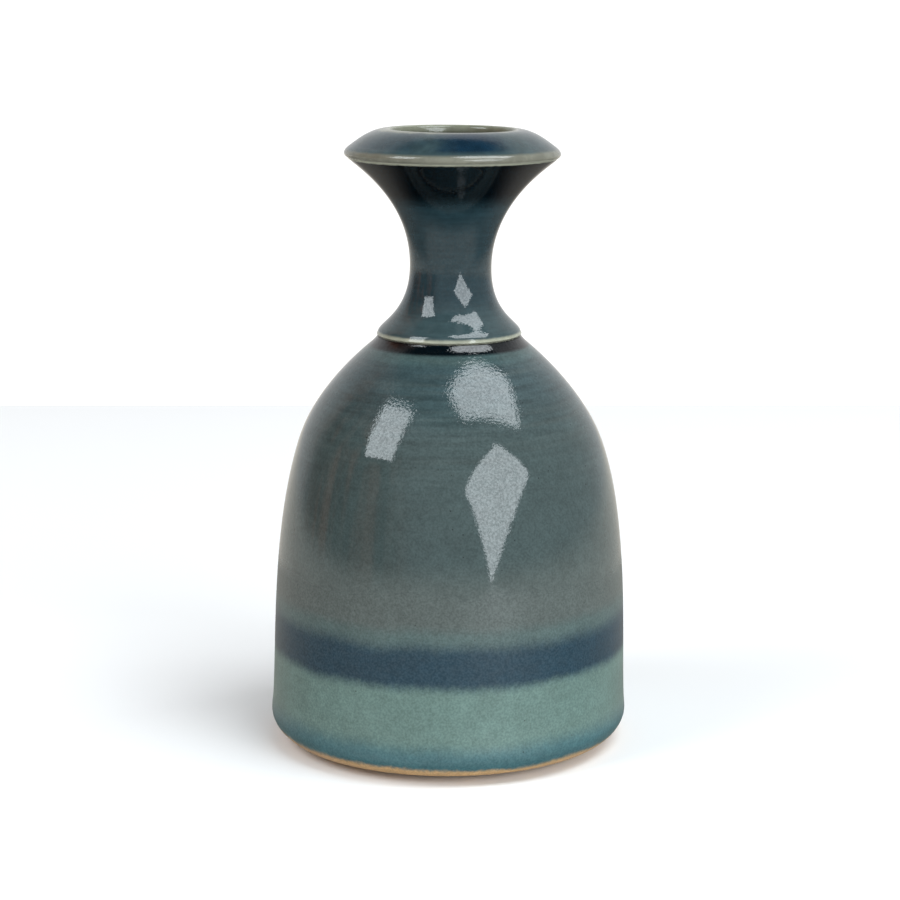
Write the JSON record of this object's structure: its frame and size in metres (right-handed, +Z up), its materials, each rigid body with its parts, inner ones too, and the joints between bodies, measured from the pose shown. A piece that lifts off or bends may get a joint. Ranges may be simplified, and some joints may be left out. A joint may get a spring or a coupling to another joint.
{
  "type": "bud vase",
  "caption": "Wheel-thrown ceramic bud vase: bell-shaped body, ridged hourglass neck and flared rim turned in to a small mouth, with dipped glaze bands.",
  "frame": {"origin": "centre of the foot, on the surface the vase stands on", "axes": "+Z up along the throwing axis, from the foot to the mouth; the vase is round, so X and Y are free"},
  "size_m": [0.1056, 0.1056, 0.18],
  "materials": {
    "bare_stoneware": "unglazed fired clay, matt",
    "slip": "unglazed fired slip, matt",
    "celadon": "pale green satin glaze, blue towards the foot",
    "cobalt": "dark blue satin glaze with soft edges",
    "slate": "blue-grey gloss glaze with fine iron specks",
    "slate_neck": "blue-grey gloss glaze, broken pale along the ridge",
    "rim": "gloss glaze, broken to pale olive grey along the edge",
    "liner": "olive-grey gloss liner glaze"
  },
  "bodies": {
    "root": {"clay_body": "bare_stoneware", "clay_neck": "bare_stoneware", "luting_slip": "slip", "celadon_glaze": "celadon", "cobalt_band": "cobalt", "slate_glaze": "slate", "neck_glaze": "slate_neck", "rim_glaze": "rim", "liner_glaze": "liner"}
  },
  "joints": []
}
